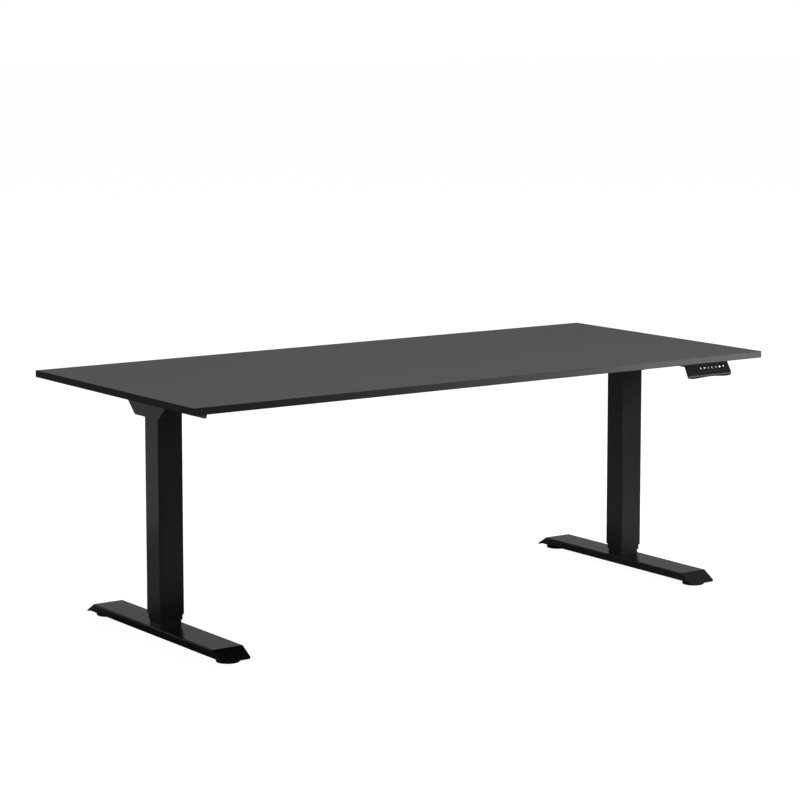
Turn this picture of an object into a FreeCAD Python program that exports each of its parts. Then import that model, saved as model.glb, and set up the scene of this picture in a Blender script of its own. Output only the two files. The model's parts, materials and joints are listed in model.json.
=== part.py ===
import FreeCAD, Part
import math
import os

from FreeCAD import Vector

# Height adjustable standing desk: two three-stage columns that telescope together, a board on top and
# a handset under its front edge. Millimetres, +Z up, front towards -Y, origin on the floor under the
# middle of the board. Everything is drawn at the lowest height.

# Board
boardLength = 1800.0
boardDepth = 800.0
boardThickness = 18.0
deskHeight = 647.0
bandThickness = 1.0
screwHoleRadius = 2.3
screwBite = 12.0
screwClearance = 0.3

# Columns, largest tube on top
legX = 751.0
wall = 1.5
outerSide = 70.0
middleSide = 65.0
innerSide = 60.0
tubeCorner = 4.0
outerBottom = 61.0
middleBottom = 47.5
outerTop = 567.5
middleTop = 548.0
innerTop = 535.0
topPlate = 4.0
basePlate = 8.0

# Glides between the tubes, with pegs in holes through the wall
glideWidth = 44.0
glideHeight = 28.0
glideRise = 2.0
runningGap = 0.05
freeGap = 0.3
pegSpread = 17.0
pegRise = 16.0
pegRadius = 2.5
upperGlideDrop = 33.0

# Feet, folded from sheet
footTop = 34.0
footHalfWidth = 44.5
footFlatHalf = 300.0
footHalfLength = 340.0
footTipHeight = 9.5
footWallBottom = 13.6
footCutHeight = 2.0
footSheet = 2.5
footBend = 3.0
footTipCorner = 9.0
footBoltSpread = 18.0
footBoltRadius = 4.0
studPlateBottom = 15.0
studPlateThickness = 4.0
studPlateHalf = 18.0

# Levelling feet
padY = 301.0
padRadius = 30.0
padRim = 6.0
padHub = 10.0
studRadius = 4.0
studTop = 27.0

# Telescopic spindle in each column
nutTubeRadius = 17.0
nutTubeTop = 488.0
nutTubeFlangeRadius = 24.0
nutTubeFlange = 4.0
lowerNutTop = 512.0
lowerNutRadius = 20.0
lowerSpindleRadius = 13.0
lowerSpindleBore = 10.0
lowerSpindleBottom = 150.0
spindleHeadRadius = 15.0
spindleHeadBottom = 518.0
spindleFoot = 10.0
spindlePassage = 1.5
hexFlats = 8.0
hexRodTop = 560.0
upperSpindleRadius = 9.0
upperSpindleBottom = 190.0
upperSpindleTop = 616.0
plateTop = 553.0
plateSide = 64.0
bossRadius = 20.0
bossBottom = 515.0
bearingSeatTop = 533.0

# Worm drive on top of each column
underBoard = deskHeight - boardThickness
flange = 2.5
gearboxFront = -35.0
gearboxBack = 48.0
gearboxLidBottom = 620.0
gearboxTop = underBoard - flange
wormY = 22.0
wormZ = 597.0
wormRadius = 7.2
wormHalfLength = 14.0
wormShaftRadius = 4.0
wormTunnelGap = 0.8
gearHalf = outerSide / 2
gearboxCorner = 3.0
wheelRadius = 17.0
wheelHalfThickness = 7.0
wheelTeeth = 25
toothGapWidth = 1.6
toothRootRadius = 13.8
chamberRadius = 19.5
bearingRadius = 15.0
lowerBearing = (579.0, 588.0)
upperBearing = (606.0, 615.0)
throughScrewX = 27.0
throughScrewY = 29.0
motorRadius = 26.0
motorLength = 100.0
motorWall = 2.5
motorCap = 4.0
motorRim = 3.0
motorGland = 8.0
motorPass = 4.0

# Frame under the board
bracketHalfWidth = 37.5
bracketHalfLength = 271.0
bracketShallow = 595.0
bracketDeep = 562.6
bracketInner = 608.0
bracketCorner = 10.0
bracketBend = 3.5
bracketStep = ((-72.0, -40.0), (79.0, 113.0))
boardScrewRows = (-250.0, -165.0, 165.0, 250.0)
railFront = 100.0
railWidth = 25.0
railBottom = 577.0
railTop = 622.0
railWall = 2.0
railCorner = 2.5
railEndPlate = 4.0
railScrewHeights = (588.0, 610.0)
railScrewRadius = 3.0
railScrewHead = (5.5, 3.0)
railTabReach = 118.0

# Control box between the rails
boxLeft = 130.0
boxRight = 390.0
boxHalfDepth = 55.0
boxBottom = 586.0
boxWall = 2.5
boxCorner = 4.0
boxPostInset = 15.0
boxPostY = 40.0
boxPostRadius = 4.0
boxPostHeight = 10.0
lidThickness = 4.0
earReach = 16.0
earHalf = 8.0
earY = 45.0
controlBoardInset = 8.0
controlBoardHalf = 46.0
controlBoardThickness = 1.6
inletY = -20.0
inletHalfWidth = 15.0
inletHalfHeight = 11.0
inletDepth = 20.0
inletPocket = 17.5
inletPocketHalf = (12.2, 8.2)
inletPins = ((-7.0, -2.0), (7.0, -2.0), (0.0, 3.0))

# Handset
handsetX = 703.5
handsetRear = -345.0
handsetRearBottom = 620.5
handsetRearHalf = 62.0
handsetWall = 2.0
handsetSkin = 3.0
handsetDepth = 11.5
handsetEarReach = 80.0
handsetEarHalf = 10.0
handsetEarThickness = 2.5
handsetScrews = ((-71.5, -380.0), (71.5, -380.0))
handsetTopHalf = 73.5
handsetSideHalf = 77.0
handsetCorner = ((0.0, 606.0), (2.8, 595.8), (11.0, 591.5))
handsetArch = 594.5
handsetLip = ((-413.3, 597.6), (-413.2, 595.0), (-410.5, 590.5), (-405.0, 588.5), (-401.5, 589.5))
handsetFaceTop = Vector(0, -398.5, 625.2)
handsetFaceFoot = Vector(0, -411.0, 600.0)
faceHalf = 67.0
faceMargin = 2.4
faceThickness = 2.0
faceDepth = 4.6
faceRim = 1.2
faceGap = 0.15
handsetBoardThickness = 1.6
keyPitch = 13.5
firstKeyX = 677.0
keyZ = 616.8
keyWidth = 10.5
keyHeight = 7.5
keyGap = 0.3
keyProud = 0.5
keyFlange = 1.0
keyFlangeReach = 0.9
keyCorner = 1.5
keyNames = ("key_up", "key_down", "key_one", "key_two", "key_three", "key_memory", "key_alarm")

# Leads clipped under the board
motorLeadRadius = 3.0
motorLeadHeight = 619.0
motorLeadBend = 60.0
handsetLeadRadius = 2.0
handsetLeadHeight = 624.75
handsetLeadBend = 12.0
handsetLeadY = 42.0
handsetLeadCross = (520.0, -170.0)
leadEntryHeight = 608.0
leadInside = 12.0

os.makedirs("parts", exist_ok=True)


def save(node, shapes):
    """Write one node; several shapes become separate solids in the same file."""
    pieces = shapes if isinstance(shapes, list) else [shapes]
    solids = [solid for piece in pieces for solid in piece.Solids]
    shape = solids[0] if len(solids) == 1 else Part.Compound(solids)
    shape.exportStep("parts/" + node + ".step")
    volume = sum(solid.Volume for solid in solids) / 1000.0
    print(f"{node:28s} {len(solids):3d} solids {volume:10.1f} cm3  valid {shape.isValid()}")


def block(x, y, z):
    """Box between pairs of coordinates."""
    return Part.makeBox(x[1] - x[0], y[1] - y[0], z[1] - z[0], Vector(x[0], y[0], z[0]))


def post(radius, z, x=0.0, y=0.0):
    """Upright cylinder between two heights."""
    return Part.makeCylinder(radius, z[1] - z[0], Vector(x, y, z[0]))


def rod(radius, x, y, z):
    """Cylinder along X between two coordinates."""
    return Part.makeCylinder(radius, x[1] - x[0], Vector(x[0], y, z), Vector(1, 0, 0))


def polygon(points):
    """Face inside a closed run of straight edges."""
    return Part.Face(Part.makePolygon(points + [points[0]]))


def sideProfile(points, x):
    """Outline in the YZ plane, extruded between two X coordinates."""
    return polygon([Vector(x[0], y, z) for y, z in points]).extrude(Vector(x[1] - x[0], 0, 0))


def roundedSquare(side, radius, z):
    """Upright square bar with rounded corners."""
    half = side / 2
    bar = block((-half, half), (-half, half), z)
    upright = [edge for edge in bar.Edges if abs(edge.tangentAt(edge.FirstParameter).z) > 0.99]
    return bar.makeFillet(radius, upright)


def squareTube(side, z):
    """Square tube of the columns' wall thickness."""
    return roundedSquare(side, tubeCorner, z).cut(roundedSquare(side - 2 * wall, tubeCorner - wall, z))


def hexagon(flats, z):
    """Upright hexagonal bar across flats."""
    corner = flats / math.sqrt(3)
    angles = [math.radians(60 * step) for step in range(6)]
    points = [Vector(corner * math.cos(a), corner * math.sin(a), z[0]) for a in angles]
    return polygon(points).extrude(Vector(0, 0, z[1] - z[0]))


def fourCorners(x, y):
    """The four places at plus and minus x and y."""
    return [(i * x, j * y) for i in (-1, 1) for j in (-1, 1)]


def aroundFaces(shape):
    """Four copies of a shape, one on each face of a square column."""
    copies = []
    for quarter in range(4):
        turned = shape.copy()
        turned.rotate(Vector(0, 0, 0), Vector(0, 0, 1), 90 * quarter)
        copies.append(turned)
    return copies


def atLeg(shape, side):
    """Move a shape drawn about a column axis, with +X outboard, to the left (-1) or right (1) column."""
    placed = shape.mirror(Vector(0, 0, 0), Vector(1, 0, 0)) if side < 0 else shape.copy()
    placed.translate(Vector(side * legX, 0, 0))
    return placed


def drillForPegs(tube, side, bottom):
    """Tube with two peg holes through the wall of each face, near its mouth."""
    half = side / 2
    for y in (-pegSpread, pegSpread):
        for hole in aroundFaces(rod(pegRadius, (half - wall - 1, half + 1), y, bottom + pegRise)):
            tube = tube.cut(hole)
    return tube


def lowerGlides(side, bottom):
    """Pads inside the mouth of a tube, running on the tube within it, with pegs into the wall."""
    inside = side / 2 - wall
    surface = inside - 1.0 + runningGap
    z = bottom + glideRise
    pad = block((surface, inside), (-glideWidth / 2, glideWidth / 2), (z, z + glideHeight))
    for y in (-pegSpread, pegSpread):
        pad = pad.fuse(rod(pegRadius - runningGap, (inside - 0.5, side / 2 - 0.2), y, bottom + pegRise))
    return aroundFaces(pad.removeSplitter())


def upperGlides(side, top):
    """Pads on the outside of a tube's top end, running in the tube around it."""
    face = side / 2
    pad = block((face, face + 1.0 - runningGap), (-glideWidth / 2, glideWidth / 2),
                (top - upperGlideDrop, top - upperGlideDrop + glideHeight))
    return aroundFaces(pad)


def screw(radius, length, headRadius, headHeight):
    """Pan head screw, head below z = 0 and shank above it."""
    return post(headRadius, (-headHeight, 0)).fuse(post(radius, (0, length))).removeSplitter()


def woodScrew(x, y, under):
    """Wood screw into the board from the underside of a piece at a given height."""
    shape = screw(screwHoleRadius - runningGap, underBoard - under + screwBite - 0.5, 5.0, 2.5)
    shape.translate(Vector(x, y, under))
    return shape


def roundedPath(points, bend):
    """Straight runs through points, joined by tangent arcs of one radius."""
    edges = []
    start = points[0]
    for before, corner, after in zip(points, points[1:], points[2:]):
        into = (corner - before).normalize()
        away = (after - corner).normalize()
        turn = into.getAngle(away)
        reach = bend * math.tan(turn / 2)
        towards = (away - into).normalize()
        centre = corner + towards * (bend / math.cos(turn / 2))
        first = corner - into * reach
        last = corner + away * reach
        edges.append(Part.LineSegment(start, first).toShape())
        edges.append(Part.Arc(first, centre - towards * bend, last).toShape())
        start = last
    edges.append(Part.LineSegment(start, points[-1]).toShape())
    return Part.Wire(edges)


def lead(name, points, bend, radius):
    """Round lead along a rounded path."""
    path = roundedPath(points, bend)
    ring = Part.Wire(Part.makeCircle(radius, points[0], points[1] - points[0]))
    shape = path.makePipeShell([ring], True, True)
    expected = math.pi * radius ** 2 * path.Length
    ratio = shape.Volume / expected
    print(f"{name}: length {path.Length:.0f} mm, bend {bend:.0f} mm, volume ratio {ratio:.4f}")
    return shape


# ---- Base: feet, inner tubes, nut tubes and levelling feet


def footOutline(inset):
    """Side view of the foot, its top and sloping ends moved inwards by the inset."""
    slope = math.atan2(footTop - footTipHeight, footHalfLength - footFlatHalf)
    top = footTop - inset
    shoulder = footFlatHalf - inset * math.tan(slope / 2)
    reach = footHalfLength - inset * math.sin(slope)
    tip = footTipHeight - inset * math.cos(slope)
    foot = reach + (tip - footCutHeight) / math.tan(slope)
    return [(-foot, footCutHeight), (-shoulder, top), (shoulder, top), (foot, footCutHeight)]


def footBody(inset):
    """Foot filled solid, its bends rounded, or the cavity under the sheet when inset."""
    half = footHalfWidth - inset
    body = sideProfile(footOutline(inset), (-half, half))
    bends = [e for e in body.Edges if e.Length > 30 and abs(e.CenterOfMass.x) > half - 0.01
             and e.CenterOfMass.z > footTipHeight - 1]
    return body.makeFillet(max(footBend - inset, 0.5), bends)


def footTipTrim():
    """What is cut away beyond the end flange, leaving rounded lower corners, for the +Y end."""
    slope = math.atan2(footTop - footTipHeight, footHalfLength - footFlatHalf)
    length = (footHalfLength - footFlatHalf) / math.cos(slope)
    half = footHalfWidth
    tongue = block((-half, half), (-100, length), (-8, 8))
    corners = [e for e in tongue.Edges if abs(e.tangentAt(e.FirstParameter).z) > 0.99
               and e.CenterOfMass.y > 0]
    tongue = tongue.makeFillet(footTipCorner, corners)
    trim = block((-60, 60), (20, 90), (-7, 7)).cut(tongue)
    trim.rotate(Vector(0, 0, 0), Vector(1, 0, 0), -math.degrees(slope))
    trim.translate(Vector(0, footFlatHalf, footTop))
    return trim


def makeFoot():
    """Inverted channel with sloping end flanges and two plates for the levelling studs."""
    body = footBody(0.0)
    half = footHalfWidth - footSheet
    flangesAndTop = body.cut(sideProfile(footOutline(footSheet), (-footHalfWidth - 1, footHalfWidth + 1)))
    walls = body.cut(footBody(footSheet))
    walls = walls.common(block((-footHalfWidth, footHalfWidth), (-footHalfLength, footHalfLength),
                               (footWallBottom, footTop)))
    foot = walls.fuse(flangesAndTop)
    trim = footTipTrim()
    foot = foot.cut(trim)
    trim.rotate(Vector(0, 0, 0), Vector(0, 0, 1), 180)
    foot = foot.cut(trim)
    for x, y in fourCorners(footBoltSpread, footBoltSpread):
        foot = foot.cut(post(footBoltRadius + 0.5, (20, footTop + 1), x, y))
    for i in (-1, 1):
        plate = block((-half, half), (i * padY - studPlateHalf, i * padY + studPlateHalf),
                      (studPlateBottom, studPlateBottom + studPlateThickness))
        hole = post(studRadius + runningGap, (0, 30), 0, i * padY)
        foot = foot.fuse(plate).cut(hole)
    return foot.removeSplitter()


def makeInnerTube():
    """Smallest tube with its welded base plate, tapped for the four foot bolts."""
    tube = squareTube(innerSide, (footTop, innerTop))
    tube = tube.fuse(roundedSquare(innerSide - 1, tubeCorner - 0.5, (footTop, footTop + basePlate)))
    for x, y in fourCorners(footBoltSpread, footBoltSpread):
        tube = tube.cut(post(footBoltRadius, (footTop - 1, footTop + basePlate + 1), x, y))
    return tube.removeSplitter()


def makeLevellingFoot(y):
    """Moulded pad and its threaded stud."""
    pad = post(padRadius, (0, padRim))
    rim = [edge for edge in pad.Edges if edge.CenterOfMass.z > padRim - 0.1]
    pad = pad.makeChamfer(1.5, rim)
    hub = Part.makeCone(padRadius - 6, 9.0, padHub - padRim, Vector(0, 0, padRim))
    stud = post(studRadius, (padHub - 1, studTop))
    foot = pad.fuse(hub).fuse(stud).removeSplitter()
    foot.translate(Vector(0, y, 0))
    return foot


foot = makeFoot()
innerTube = makeInnerTube()
footBolt = screw(footBoltRadius - runningGap, footSheet + basePlate - 0.5, 7.0, 5.0)
footBolts = []
for x, y in fourCorners(footBoltSpread, footBoltSpread):
    bolt = footBolt.copy()
    bolt.translate(Vector(x, y, footTop - footSheet))
    footBolts.append(bolt)
tubeFloor = footTop + basePlate
nutTube = post(nutTubeRadius, (tubeFloor, nutTubeTop))
nutTube = nutTube.fuse(post(nutTubeFlangeRadius, (tubeFloor, tubeFloor + nutTubeFlange)))
nutTube = nutTube.cut(post(nutTubeRadius - wall, (tubeFloor - 1, nutTubeTop + 1))).removeSplitter()
lowerNut = post(lowerNutRadius, (nutTubeTop, lowerNutTop))
lowerNut = lowerNut.fuse(post(nutTubeRadius - wall - runningGap, (nutTubeTop - 10, nutTubeTop)))
lowerNut = lowerNut.cut(post(lowerSpindleRadius + runningGap, (nutTubeTop - 11, lowerNutTop + 1)))
lowerNut = lowerNut.removeSplitter()

# ---- Middle stage, with the nut of the upper spindle and the seat of the lower one

middleTube = drillForPegs(squareTube(middleSide, (middleBottom, middleTop)), middleSide, middleBottom)
nutPlate = roundedSquare(plateSide, 3.0, (middleTop, plateTop)).fuse(post(bossRadius, (bossBottom, plateTop)))
nutPlate = nutPlate.cut(post(upperSpindleRadius + runningGap, (bossBottom - 1, plateTop + 1)))
nutPlate = nutPlate.cut(post(spindleHeadRadius + runningGap, (bossBottom - 1, bearingSeatTop)))
nutPlate = nutPlate.removeSplitter()

# ---- Spindles: the lower one hollow with a hexagonal rod up its middle, the upper one sliding on the rod

headTop = bearingSeatTop - freeGap
lowerSpindle = post(lowerSpindleRadius, (lowerSpindleBottom, spindleHeadBottom))
lowerSpindle = lowerSpindle.fuse(post(spindleHeadRadius, (spindleHeadBottom, headTop)))
lowerSpindle = lowerSpindle.cut(post(lowerSpindleBore, (lowerSpindleBottom + spindleFoot, headTop + 1)))
lowerSpindle = lowerSpindle.fuse(hexagon(hexFlats, (lowerSpindleBottom + 2, hexRodTop))).removeSplitter()
upperSpindle = post(upperSpindleRadius, (upperSpindleBottom, upperSpindleTop))
upperSpindle = upperSpindle.cut(hexagon(hexFlats + 2 * runningGap, (upperSpindleBottom - 1, hexRodTop + 10)))


def makeWormWheel():
    """Wheel with straight gaps and a throat that clears the worm."""
    z = (wormZ - wheelHalfThickness, wormZ + wheelHalfThickness)
    wheel = post(wheelRadius, z)
    gap = block((toothRootRadius, wheelRadius + 1), (-toothGapWidth / 2, toothGapWidth / 2), z)
    gaps = []
    for tooth in range(wheelTeeth):
        turned = gap.copy()
        turned.rotate(Vector(0, 0, 0), Vector(0, 0, 1), 360.0 * tooth / wheelTeeth)
        gaps.append(turned)
    wheel = wheel.cut(Part.Compound(gaps))
    wheel = wheel.cut(Part.makeTorus(wormY, wormRadius + freeGap, Vector(0, 0, wormZ)))
    return wheel.cut(post(upperSpindleRadius, z))


def makeMotorShaft():
    """Worm and motor spindle in one piece."""
    shaft = rod(wormShaftRadius, (-gearHalf - motorLength + 2 * motorCap, gearHalf - 6), wormY, wormZ)
    return shaft.fuse(rod(wormRadius, (-wormHalfLength, wormHalfLength), wormY, wormZ)).removeSplitter()


def makeGearbox():
    """Cast housing: wheel chamber open upwards, lower bearing seat, worm tunnel and screw holes."""
    box = block((-gearHalf, gearHalf), (gearboxFront, gearboxBack), (outerTop, gearboxLidBottom))
    upright = [e for e in box.Edges if abs(e.tangentAt(e.FirstParameter).z) > 0.99]
    box = box.makeFillet(gearboxCorner, upright)
    box = box.cut(post(chamberRadius, (lowerBearing[1], gearboxLidBottom + 1)))
    box = box.cut(post(bearingRadius, (lowerBearing[0], lowerBearing[1] + 1)))
    box = box.cut(post(upperSpindleRadius + spindlePassage, (outerTop - 1, lowerBearing[0] + 1)))
    box = box.cut(rod(wormRadius + wormTunnelGap, (-wormHalfLength - 2, wormHalfLength + 2), wormY, wormZ))
    box = box.cut(rod(wormShaftRadius + runningGap, (-gearHalf - 1, gearHalf - 4), wormY, wormZ))
    for x, y in fourCorners(throughScrewX, throughScrewY):
        box = box.cut(post(screwHoleRadius + screwClearance, (outerTop - 1, gearboxTop), x, y))
    return box


def makeGearboxLid():
    """Lid with a ring that holds the upper bearing."""
    lid = block((-gearHalf, gearHalf), (gearboxFront, gearboxBack), (gearboxLidBottom, gearboxTop))
    upper = [e for e in lid.Edges if e.CenterOfMass.z > gearboxTop - 0.1 and abs(e.CenterOfMass.x) > 30]
    lid = lid.makeFillet(bracketBend - flange + 0.5, upper)
    ring = post(chamberRadius - 0.5, (upperBearing[0], gearboxLidBottom))
    lid = lid.fuse(ring.cut(post(bearingRadius, (upperBearing[0], upperBearing[1]))))
    lid = lid.cut(post(upperSpindleRadius + 1, (upperBearing[0], upperSpindleTop + 1)))
    for x, y in fourCorners(throughScrewX, throughScrewY):
        lid = lid.cut(post(screwHoleRadius + screwClearance, (gearboxLidBottom - 1, gearboxTop + 1), x, y))
    return lid.removeSplitter()


def makeMotor():
    """Motor can with end caps, hollow inside, and the boss its lead comes out of."""
    inboard = -gearHalf - motorLength
    can = rod(motorRadius, (inboard, -gearHalf), wormY, wormZ)
    rims = [e for e in can.Edges if e.Length > 100 and e.CenterOfMass.x < inboard + 1]
    can = can.makeFillet(motorRim, rims)
    can = can.cut(rod(motorRadius - motorWall, (inboard + motorCap, -gearHalf - motorCap), wormY, wormZ))
    can = can.cut(rod(wormShaftRadius + 0.5, (inboard + 1.5 * motorCap, -gearHalf + 1), wormY, wormZ))
    gland = rod(motorLeadRadius + 2.0, (inboard - motorGland, inboard + 1), wormY, leadEntryHeight)
    return can.fuse(gland).removeSplitter()


bearingRing = post(bearingRadius, (0, 9)).cut(post(upperSpindleRadius + runningGap, (-1, 10)))
wheelBearings = []
for bottom in (lowerBearing[0], upperBearing[0]):
    ring = bearingRing.copy()
    ring.translate(Vector(0, 0, bottom))
    wheelBearings.append(ring)

# ---- Outer tube, closed on top by the plate that carries the gearbox

outerTube = squareTube(outerSide, (outerBottom, outerTop))
outerTube = outerTube.fuse(roundedSquare(outerSide - 1, tubeCorner - 0.5, (outerTop - topPlate, outerTop)))
outerTube = outerTube.cut(post(upperSpindleRadius + spindlePassage, (outerTop - topPlate - 1, outerTop + 1)))
for x, y in fourCorners(throughScrewX, throughScrewY):
    outerTube = outerTube.cut(post(screwHoleRadius + 0.1, (outerTop - topPlate - 1, outerTop + 1), x, y))
outerTube = drillForPegs(outerTube, outerSide, outerBottom).removeSplitter()


def makeBracket():
    """Folded channel under the board: deep outer cheek over the column, shallower inner cheek."""
    w = bracketHalfWidth
    span = (-bracketHalfLength, bracketHalfLength)
    shell = block((-w, w), span, (bracketDeep - 1, underBoard))
    long = [e for e in shell.Edges if e.Length > 500 and e.CenterOfMass.z > underBoard - 1]
    shell = shell.makeFillet(bracketBend, long)
    hollow = block((-w + flange, w - flange), (span[0] - 1, span[1] + 1), (0, underBoard - flange))
    long = [e for e in hollow.Edges if e.Length > 500 and e.CenterOfMass.z > underBoard - flange - 1]
    shell = shell.cut(hollow.makeFillet(bracketBend - flange, long))
    end = bracketHalfLength
    front, rear = bracketStep
    cheek = sideProfile([(-end, underBoard), (-end, bracketShallow), (front[0], bracketShallow),
                         (front[1], bracketDeep), (rear[0], bracketDeep), (rear[1], bracketShallow),
                         (end, bracketShallow), (end, underBoard)], (-w, w))
    corners = [e for e in cheek.Edges if e.Length < 3 * w and abs(e.CenterOfMass.z - bracketShallow) < 0.1
               and abs(abs(e.CenterOfMass.y) - end) < 0.1]
    bracket = shell.common(cheek.makeFillet(bracketCorner, corners))
    bracket = bracket.cut(block((-w - 1, 0), (-end - 1, end + 1), (0, bracketInner)))
    tab = block((-w, -w + flange), (-railTabReach, railTabReach), (railBottom, bracketInner + 1))
    bracket = bracket.fuse(tab)
    opening = motorRadius + motorPass
    bracket = bracket.cut(block((-w - 1, 0), (wormY - opening, wormY + opening),
                                (0, gearboxLidBottom + motorPass)))
    for y in boardScrewRows:
        bracket = bracket.cut(post(screwHoleRadius + screwClearance, (underBoard - 5, underBoard + 1), 0, y))
    for x, y in fourCorners(throughScrewX, throughScrewY):
        bracket = bracket.cut(Part.makeCone(screwHoleRadius + screwClearance, 4.8, flange,
                                            Vector(x, y, underBoard - flange)))
    for y in (-railFront + railWidth / 2, railFront - railWidth / 2):
        for z in railScrewHeights:
            bracket = bracket.cut(rod(railScrewRadius + 0.2, (-w - 1, 0), y, z))
    return bracket.removeSplitter()


def throughScrew(x, y):
    """Countersunk screw through the bracket and gearbox into the top plate of the tube."""
    shank = post(screwHoleRadius, (outerTop - topPlate, underBoard - flange), x, y)
    head = Part.makeCone(screwHoleRadius, 4.6, flange - 0.1, Vector(x, y, underBoard - flange))
    return shank.fuse(head).removeSplitter()


def makeRail(y):
    """Rectangular tube between the two brackets, with tapped end plates."""
    length = legX - bracketHalfWidth
    rail = block((-length, length), y, (railBottom, railTop))
    edges = [e for e in rail.Edges if e.Length > 1000]
    rail = rail.makeFillet(railCorner, edges)
    cavity = block((-length + railEndPlate, length - railEndPlate), (y[0] + railWall, y[1] - railWall),
                   (railBottom + railWall, railTop - railWall))
    rail = rail.cut(cavity)
    middle = (y[0] + y[1]) / 2
    for z in railScrewHeights:
        for x in ((-length - 1, -length + railEndPlate + 1), (length - railEndPlate - 1, length + 1)):
            rail = rail.cut(rod(railScrewRadius, x, middle, z))
    return rail


def railScrews():
    """Button head screws from inside each bracket into the rails' end plates."""
    screws = []
    inner = legX - bracketHalfWidth
    for side in (-1, 1):
        for y in (-railFront + railWidth / 2, railFront - railWidth / 2):
            for z in railScrewHeights:
                shank = rod(railScrewRadius - runningGap, (inner - railEndPlate, inner + flange), y, z)
                head = rod(railScrewHead[0], (inner + flange, inner + flange + railScrewHead[1]), y, z)
                shape = shank.fuse(head).removeSplitter()
                screws.append(shape.mirror(Vector(0, 0, 0), Vector(1, 0, 0)) if side < 0 else shape)
    return screws


# ---- Control box


def makeControlShell():
    """Tray with posts for the circuit board and holes for the leads."""
    top = underBoard - lidThickness
    shell = block((boxLeft, boxRight), (-boxHalfDepth, boxHalfDepth), (boxBottom, top))
    lower = [e for e in shell.Edges if e.CenterOfMass.z < top - 0.1]
    shell = shell.makeFillet(boxCorner, lower)
    inside = boxHalfDepth - boxWall
    shell = shell.cut(block((boxLeft + boxWall, boxRight - boxWall), (-inside, inside),
                            (boxBottom + boxWall, top + 1)))
    for x in (boxLeft + boxPostInset, boxRight - boxPostInset):
        for y in (-boxPostY, boxPostY):
            shell = shell.fuse(post(boxPostRadius, (boxBottom + 1, boxBottom + boxPostHeight), x, y))
    for x in ((boxLeft - 1, boxLeft + boxWall + 1), (boxRight - boxWall - 1, boxRight + 1)):
        shell = shell.cut(rod(motorLeadRadius + runningGap, x, wormY, leadEntryHeight))
    wallRange = (boxRight - boxWall - 1, boxRight + 1)
    shell = shell.cut(rod(handsetLeadRadius + runningGap, wallRange, handsetLeadY, leadEntryHeight))
    return shell.removeSplitter()


def makeControlLid():
    """Lid against the board, with an ear at each corner."""
    z = (underBoard - lidThickness, underBoard)
    lid = block((boxLeft, boxRight), (-boxHalfDepth, boxHalfDepth), z)
    for x in (boxLeft - earReach / 2, boxRight + earReach / 2):
        for y in (-earY, earY):
            lid = lid.fuse(block((x - earReach / 2, x + earReach / 2), (y - earHalf, y + earHalf), z))
            lid = lid.cut(post(screwHoleRadius + screwClearance, (z[0] - 1, z[1] + 1), x, y))
    return lid.removeSplitter()


def makeInlet():
    """Mains inlet on the end of the control box: a deep socket with three flat pins."""
    middle = (boxBottom + underBoard - lidThickness) / 2
    x = (boxRight, boxRight + inletDepth)
    body = block(x, (inletY - inletHalfWidth, inletY + inletHalfWidth),
                 (middle - inletHalfHeight, middle + inletHalfHeight))
    along = [e for e in body.Edges if abs(e.Length - inletDepth) < 0.1]
    body = body.makeFillet(3.0, along)
    mouth = boxRight + inletDepth
    across, up = inletPocketHalf
    body = body.cut(block((mouth - inletPocket, mouth + 1), (inletY - across, inletY + across),
                          (middle - up, middle + up)))
    for y, z in inletPins:
        pin = block((mouth - inletPocket - 1, mouth - 6), (inletY + y - 1, inletY + y + 1),
                    (middle + z - 2, middle + z + 2))
        body = body.fuse(pin)
    return body.removeSplitter()


# ---- Handset, drawn about its own middle and moved to its place

faceUp = (handsetFaceTop - handsetFaceFoot).normalize()
faceOut = Vector(0, -faceUp.z, faceUp.y)
faceLength = handsetFaceTop.distanceToPoint(handsetFaceFoot)


def faceBlock(u, v, n):
    """Box in the plane of the handset's face: across, up the face and outwards from it."""
    shape = block(u, (-n[1], -n[0]), v)
    tilt = math.degrees(math.atan2(faceUp.y, faceUp.z))
    shape.rotate(Vector(0, 0, 0), Vector(1, 0, 0), -tilt)
    shape.translate(handsetFaceFoot)
    return shape


def roundedFaceBlock(u, v, n, radius):
    """Box in the plane of the face with rounded corners."""
    shape = block(u, (-n[1], -n[0]), v)
    through = [e for e in shape.Edges if abs(e.tangentAt(e.FirstParameter).y) > 0.99]
    shape = shape.makeFillet(radius, through)
    tilt = math.degrees(math.atan2(faceUp.y, faceUp.z))
    shape.rotate(Vector(0, 0, 0), Vector(1, 0, 0), -tilt)
    shape.translate(handsetFaceFoot)
    return shape


def handsetFront(y):
    """Front view of the handset: sides leaning out a little, round lower corners, arched underside."""
    top = handsetTopHalf
    side = handsetSideHalf
    corner = [(side - back, z) for back, z in handsetCorner]
    mirrored = [(-x, z) for x, z in reversed(corner)]
    curves = [corner, [corner[2], (0.0, handsetArch), mirrored[0]], mirrored]
    sides = [(mirrored[2], (-top, underBoard)), ((-top, underBoard), (top, underBoard)),
             ((top, underBoard), corner[0])]
    outline = [Part.Arc(*[Vector(x, y, z) for x, z in curve]).toShape() for curve in curves]
    outline += [Part.LineSegment(*[Vector(x, y, z) for x, z in line]).toShape() for line in sides]
    return Part.Face(Part.Wire(outline))


def handsetSide(x):
    """Side view: sloping face with a lip below it, and a thin body running back under the board."""
    back = handsetFaceFoot - faceOut * handsetDepth
    corner = back + faceUp * ((handsetRearBottom - back.z) / faceUp.z)
    points = [(handsetRear, underBoard), (handsetFaceTop.y, underBoard), (handsetFaceTop.y, handsetFaceTop.z),
              (handsetFaceFoot.y, handsetFaceFoot.z), *handsetLip, (back.y, back.z), (corner.y, corner.z),
              (handsetRear, handsetRearBottom)]
    return polygon([Vector(x, y, z) for y, z in points])


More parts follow.
